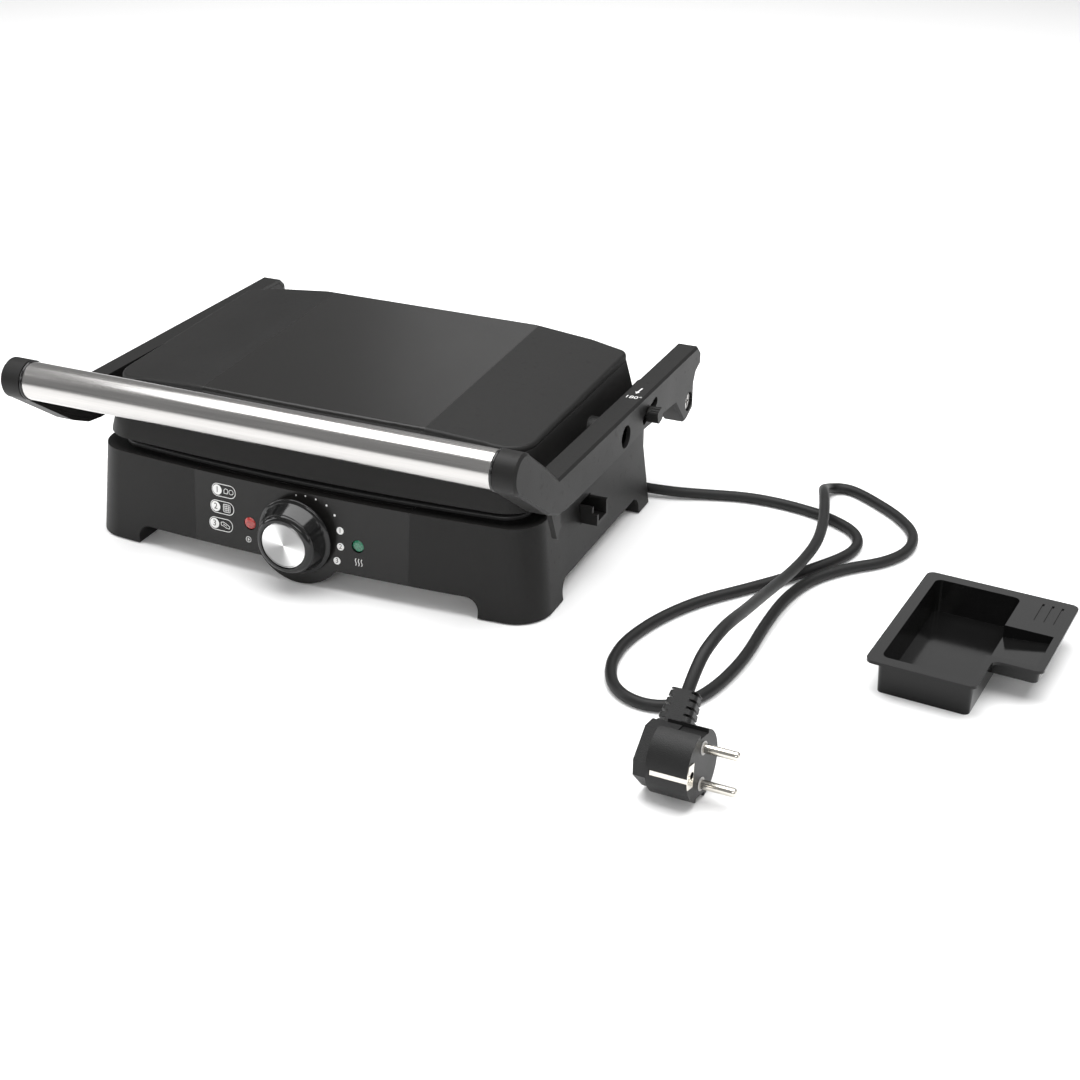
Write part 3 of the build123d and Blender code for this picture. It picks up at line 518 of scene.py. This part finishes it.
makeCasings()
paintPlainParts()
print("casings", len(softenedParts))


# Dial knob

knobSettings = {"steps": 128, "knobEdge": 0.0002, "discEdge": 0.0001, "knobAngle": 40, "discAngle": 30}
knobLow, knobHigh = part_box("dial_knob")
knobCentre = Vector((0, 0, (knobLow.z + knobHigh.z) / 2))


def toKnob(mesh):  # X of the turned profile becomes the way out of the panel
    place = Matrix.Translation((0, 0, knobCentre.z)) @ turnTo((0, -1, 0))
    bmesh.ops.transform(mesh, matrix=place, verts=mesh.verts)


def makeKnob():
    back, face = -knobHigh.y, -knobLow.y
    profile = [(back, 0.004), (back, 0.0232), (back + 0.0004, 0.0238), (back + 0.0016, 0.0239),
               (back + 0.0023, 0.0234), (back + 0.0028, 0.0220), (back + 0.0040, 0.0214),
               (back + 0.0080, 0.0202), (face - 0.0036, 0.0190), (face - 0.0028, 0.0189),
               (face - 0.0026, 0.0184), (face - 0.0021, 0.0183), (face - 0.0008, 0.0175),
               (face - 0.0002, 0.0165), (face, 0.0155), (face - 0.0001, 0.0148), (face - 0.0012, 0.0146),
               (face - 0.0012, 0.004)]
    mesh = spun(profile, knobSettings["steps"])
    toKnob(mesh)
    knob = makePiece("dialKnob", mesh, "knob", finish["knob"])
    roundEdges(knob, knobSettings["knobEdge"], 2, knobSettings["knobAngle"])
    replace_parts(knob, "dial_knob")
    low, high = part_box("knob_disc")
    face, radius = -low.y, (high.x - low.x) / 2
    profile = [(face - 0.0009, 0.0), (face - 0.0009, radius), (face - 0.0003, radius),
               (face, radius - 0.0006), (face, radius - 0.0009), (face - 0.0002, radius - 0.0012),
               (face - 0.00025, 0.0)]
    mesh = spun(profile, knobSettings["steps"])
    toKnob(mesh)
    disc = makePiece("knobDisc", mesh, "knob", spunFace(knobCentre))
    roundEdges(disc, knobSettings["discEdge"], 2, knobSettings["discAngle"])
    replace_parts(disc, "knob_disc")


makeKnob()
print("dial knob")


# Lamp lenses, cable gland and pin rings

lensSettings = {"flange": 0.0022, "rim": 0.0014, "edge": 0.0012, "steps": 48}
glandSettings = {"root": 0.0044, "tip": 0.0038, "groove": 0.0008, "ribs": 8, "pitch": 0.0032, "lead": 0.0035,
                 "steps": 40}
ringSettings = {"inner": 0.00245, "outer": 0.0036, "height": 0.0004, "sunk": 0.0002, "halfPitch": 0.0095,
                "steps": 40}
smallEdge = {"lens": 0.00015, "gland": 0.00015, "ring": 0.0001, "angle": 40}


def makeLens(nodeName, pieceName, finishName):  # a domed lens in place of the plain disc
    low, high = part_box(nodeName)
    centre = ((low.x + high.x) / 2, (low.z + high.z) / 2)
    flange = (high.x - low.x) / 2
    radius = flange - lensSettings["rim"]
    back, front = -high.y, -low.y
    edge = front - lensSettings["edge"]
    profile = [(back, 0.0), (back, flange), (back + lensSettings["flange"], flange),
               (back + lensSettings["flange"], radius), (edge, radius), (edge + 0.0005, radius * 0.93),
               (edge + 0.0009, radius * 0.72), (front - 0.0001, radius * 0.4), (front, 0.0)]
    mesh = spun(profile, lensSettings["steps"])
    place = Matrix.Translation((centre[0], 0, centre[1])) @ turnTo((0, -1, 0))
    bmesh.ops.transform(mesh, matrix=place, verts=mesh.verts)
    piece = makePiece(pieceName, mesh, "base", finish[finishName])
    roundEdges(piece, smallEdge["lens"], 2, smallEdge["angle"])
    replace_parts(piece, nodeName)


def makeGland():  # a ribbed, tapered bend protector round the cord's first stretch
    low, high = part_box("cord_gland")
    start, end = low.x, high.x
    profile = [(start, 0.0), (start, glandSettings["root"])]
    for index in range(glandSettings["ribs"]):
        place = start + glandSettings["lead"] + index * glandSettings["pitch"]
        taper = (place - start) / (end - start)
        outer = glandSettings["root"] + (glandSettings["tip"] - glandSettings["root"]) * taper
        inner = outer - glandSettings["groove"]
        profile += [(place, outer), (place + 0.0003, inner), (place + 0.0012, inner), (place + 0.0015, outer)]
    profile += [(end - 0.0004, glandSettings["tip"]), (end, glandSettings["tip"] - 0.0003), (end, 0.0)]
    mesh = spun(profile, glandSettings["steps"])
    centre = Matrix.Translation((0, (low.y + high.y) / 2, (low.z + high.z) / 2))
    bmesh.ops.transform(mesh, matrix=centre, verts=mesh.verts)
    piece = makePiece("cordGland", mesh, "base", finish["cord"])
    roundEdges(piece, smallEdge["gland"], 2, smallEdge["angle"])
    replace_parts(piece, "cord_gland")


plugFrame = (Matrix.Translation(Vector((289.6, -203.5, 19.2)) * millimetre)
             @ Matrix.Rotation(math.radians(-10.75), 4, "X") @ Matrix.Rotation(math.radians(-1.5), 4, "Y")
             @ Matrix.Rotation(math.radians(-5.2), 4, "Z"))


def makePinRings():  # pale moulded rings round the roots of the pins
    mesh = bmesh.new()
    for side in (-1, 1):
        root, top = -ringSettings["sunk"], ringSettings["height"]
        inner, outer = ringSettings["inner"], ringSettings["outer"]
        profile = [(root, inner), (top, inner), (top, outer), (root, outer), (root, inner)]
        ring = spun(profile, ringSettings["steps"])
        place = plugFrame @ Matrix.Translation((0, 0, side * ringSettings["halfPitch"]))
        bmesh.ops.transform(ring, matrix=place, verts=ring.verts)
        data = bpy.data.meshes.new("ring")
        ring.to_mesh(data)
        ring.free()
        mesh.from_mesh(data)
        bpy.data.meshes.remove(data)
    piece = makePiece("pinRings", mesh, "base", finish["ring"])
    roundEdges(piece, smallEdge["ring"], 2, smallEdge["angle"])


makeLens("red_lamp_lens", "redLens", "red")
makeLens("green_lamp_lens", "greenLens", "green")
makeGland()
makePinRings()
print("lenses, gland, rings")


# Printed marks on the panel and the arm

printSettings = {"lift": 0.00006, "panelFront": -0.12, "armAbove": 0.2, "longEdge": 0.003}
panelMesh = cleanCopy("base_housing")
panelTree = BVHTree.FromBMesh(panelMesh)
panelMesh.free()


def panelDepth(x, z):  # how far forward the panel stands at that place
    hit = panelTree.ray_cast(Vector((x, printSettings["panelFront"], z)), Vector((0, 1, 0)))
    return hit[0].y


def ontoPanel(mesh):  # a flat mark drawn in X and Z is laid on the bowed panel
    longEdges = [edge for edge in mesh.edges if edge.calc_length() > printSettings["longEdge"]]
    bmesh.ops.subdivide_edges(mesh, edges=longEdges, cuts=2, use_grid_fill=True)
    for vert in mesh.verts:
        vert.co.y += panelDepth(vert.co.x, vert.co.z) - printSettings["lift"]


def markFrom(name, mesh, lay=ontoPanel, body="base"):  # a flat printed piece laid on its surface
    lay(mesh)
    bmesh.ops.recalc_face_normals(mesh, faces=mesh.faces)
    piece = makePiece(name, mesh, body, finish["print"])
    for face in piece.data.polygons:
        face.use_smooth = False
    return piece


def discMark(mesh, x, z, radius, steps=28):
    turn = Matrix.Translation((x, 0, z)) @ Matrix.Rotation(math.radians(90), 4, "X")
    bmesh.ops.create_circle(mesh, cap_ends=True, radius=radius, segments=steps, matrix=turn)


def strokeMark(mesh, points, width, closed=False):  # a line of even width through (x, z) points
    ends = list(zip(points, points[1:] + points[:1])) if closed else list(zip(points, points[1:]))
    for (xa, za), (xb, zb) in ends:
        along = Vector((xb - xa, 0, zb - za))
        side = along.cross(Vector((0, 1, 0))).normalized() * width / 2
        grow = along.normalized() * width * 0.25
        a, b = Vector((xa, 0, za)) - grow, Vector((xb, 0, zb)) + grow
        corners = [mesh.verts.new(place) for place in (a + side, b + side, b - side, a - side)]
        mesh.faces.new(corners)


def numeral(mesh, text, x, z, height):  # a number from the built-in font, centred at (x, z)
    curve = bpy.data.curves.new("numeral", "FONT")
    curve.body = text
    curve.size = height * 1.42
    curve.align_x = "CENTER"
    curve.align_y = "CENTER"
    holder = bpy.data.objects.new("numeral", curve)
    scene.collection.objects.link(holder)
    bpy.context.view_layer.update()
    data = bpy.data.meshes.new_from_object(holder)
    data.transform(Matrix.Translation((x, 0, z)) @ Matrix.Rotation(math.radians(90), 4, "X"))
    mesh.from_mesh(data)
    bpy.data.objects.remove(holder)
    bpy.data.meshes.remove(data)


def pillOutline(x, z, halfWidth, halfHeight, radius, steps=6):
    points = []
    for cornerX, cornerZ, start in ((1, 1, 0), (-1, 1, 90), (-1, -1, 180), (1, -1, 270)):
        for step in range(steps + 1):
            angle = math.radians(start + 90 * step / steps)
            points.append((x + cornerX * (halfWidth - radius) + radius * math.cos(angle),
                           z + cornerZ * (halfHeight - radius) + radius * math.sin(angle)))
    return points


dialMarks = {
    "dots": [(-1.1, 55.7, 0.45), (5.2, 56.4, 0.5), (12.1, 55.6, 0.55), (19.1, 53.2, 0.65),
             (24.4, 48.1, 0.75)],
    "numbers": [("1", 28.0, 39.2), ("2", 28.3, 29.3), ("3", 26.0, 20.0)],
    "discRadius": 2.3,
    "pills": [("1", -51.2, 48.4), ("2", -52.5, 37.6), ("3", -53.6, 26.6)],
    "pillDisc": (-4.6, 3.2),  # the disc's place beside the pill's middle, and its radius
    "pillIcon": 3.2,  # the icon's place beside the pill's middle
    "line": 0.35,
}


def breadIcon(mesh, x, z):  # a slice of bread beside a round fruit
    strokeMark(mesh, [(x - 3.0, z - 1.4), (x - 3.0, z + 0.6), (x - 2.0, z + 1.6), (x - 0.6, z + 1.4),
                      (x - 0.2, z + 0.4), (x - 0.6, z - 1.4)], dialMarks["line"], True)
    strokeMark(mesh, pillOutline(x + 2.0, z, 1.5, 1.4, 1.3, 4), dialMarks["line"], True)


def gridIcon(mesh, x, z):  # a waffle
    strokeMark(mesh, pillOutline(x, z, 2.4, 2.4, 0.6, 2), dialMarks["line"], True)
    for step in (-1.2, 0, 1.2):
        strokeMark(mesh, [(x + step, z - 1.9), (x + step, z + 1.9)], 0.3)
        strokeMark(mesh, [(x - 1.9, z + step), (x + 1.9, z + step)], 0.3)


def steakIcon(mesh, x, z):
    outline = [(x - 3.2, z + 1.4), (x - 1.4, z + 1.9), (x + 0.6, z + 1.0), (x + 3.0, z - 0.4),
               (x + 2.6, z - 1.8), (x + 0.4, z - 1.6), (x - 1.6, z - 0.6), (x - 3.0, z - 0.4)]
    strokeMark(mesh, outline, dialMarks["line"], True)
    strokeMark(mesh, [(x - 1.6, z + 0.6), (x + 0.8, z - 0.3)], dialMarks["line"])


def scaled(mesh):  # the marks are drawn in millimetres
    bmesh.ops.scale(mesh, vec=(millimetre,) * 3, verts=mesh.verts)


def makePanelMarks():
    white = bmesh.new()
    for x, z, radius in dialMarks["dots"]:
        discMark(white, x, z, radius, 16)
    for _, x, z in dialMarks["numbers"]:
        discMark(white, x, z, dialMarks["discRadius"])
    shift, discRadius = dialMarks["pillDisc"]
    icons = (breadIcon, gridIcon, steakIcon)
    for (_, x, z), icon in zip(dialMarks["pills"], icons):
        discMark(white, x + shift, z, discRadius)
        strokeMark(white, pillOutline(x, z, 8.2, 3.9, 3.7), 0.4, True)
        icon(white, x + dialMarks["pillIcon"], z)
    # a plain power mark under the red lamp and three heat waves under the green one
    strokeMark(white, pillOutline(-34.2, 21.2, 1.7, 1.7, 1.7, 5), 0.4, True)
    strokeMark(white, [(-34.2, 22.0), (-34.2, 20.2)], 0.4)
    strokeMark(white, [(-35.0, 21.2), (-33.4, 21.2)], 0.4)
    for x in (38.3, 40.2, 42.1):
        wave = [(x + 0.35 * math.sin(step * 1.1), 19.6 + 0.7 * step) for step in range(7)]
        strokeMark(white, wave, 0.5)
    scaled(white)
    markFrom("panelPrint", white)
    black = bmesh.new()
    for text, x, z in dialMarks["numbers"]:
        numeral(black, text, x, z, 3.0)
    for text, x, z in dialMarks["pills"]:
        numeral(black, text, x + shift, z, 3.8)
    scaled(black)
    numbers = markFrom("panelNumbers", black)
    numbers.data.transform(Matrix.Translation((0, -printSettings["lift"], 0)))
    numbers.data.materials.clear()
    numbers.data.materials.append(finish["arm"])


armMark = {"arrowTail": (156.2, 58.2), "arrowHead": (155.6, 49.4), "halfShaft": 0.45, "text": (156.2, 42.6),
           "height": 4.0}


def ontoArm(mesh):  # a flat mark drawn in X and Y, laid on the sloping top of the arm
    for vert in mesh.verts:
        hit = armTree.ray_cast(Vector((vert.co.x, vert.co.y, printSettings["armAbove"])), Vector((0, 0, -1)))
        vert.co.z = hit[0].z + printSettings["lift"]


def makeArmMark():  # an arrow towards the user and the angle that the arm opens to
    mesh = bmesh.new()
    (tailX, tailY), (headX, headY) = armMark["arrowTail"], armMark["arrowHead"]
    half = armMark["halfShaft"]
    shaft = [(tailX - half, tailY), (headX - half, headY + 2), (headX + half, headY + 2),
             (tailX + half, tailY)]
    head = [(headX - 1.5, headY + 2.4), (headX, headY - 0.6), (headX + 1.5, headY + 2.4)]
    for points in (shaft, head):
        mesh.faces.new([mesh.verts.new((x, y, 0)) for x, y in points])
    scaled(mesh)
    text = bmesh.new()
    numeral(text, "180\u00b0", 0, 0, armMark["height"] * millimetre)
    place = Vector((*armMark["text"], 0)) * millimetre
    lay = Matrix.Translation(place) @ Matrix.Rotation(math.radians(-90), 4, "X")
    bmesh.ops.transform(text, matrix=lay, verts=text.verts)
    data = bpy.data.meshes.new("armText")
    text.to_mesh(data)
    text.free()
    mesh.from_mesh(data)
    bpy.data.meshes.remove(data)
    markFrom("armMark", mesh, ontoArm, "arms")


armMesh = cleanCopy("arm_shell_right")
armTree = BVHTree.FromBMesh(armMesh)
armMesh.free()
makePanelMarks()
makeArmMark()
print("printed marks")
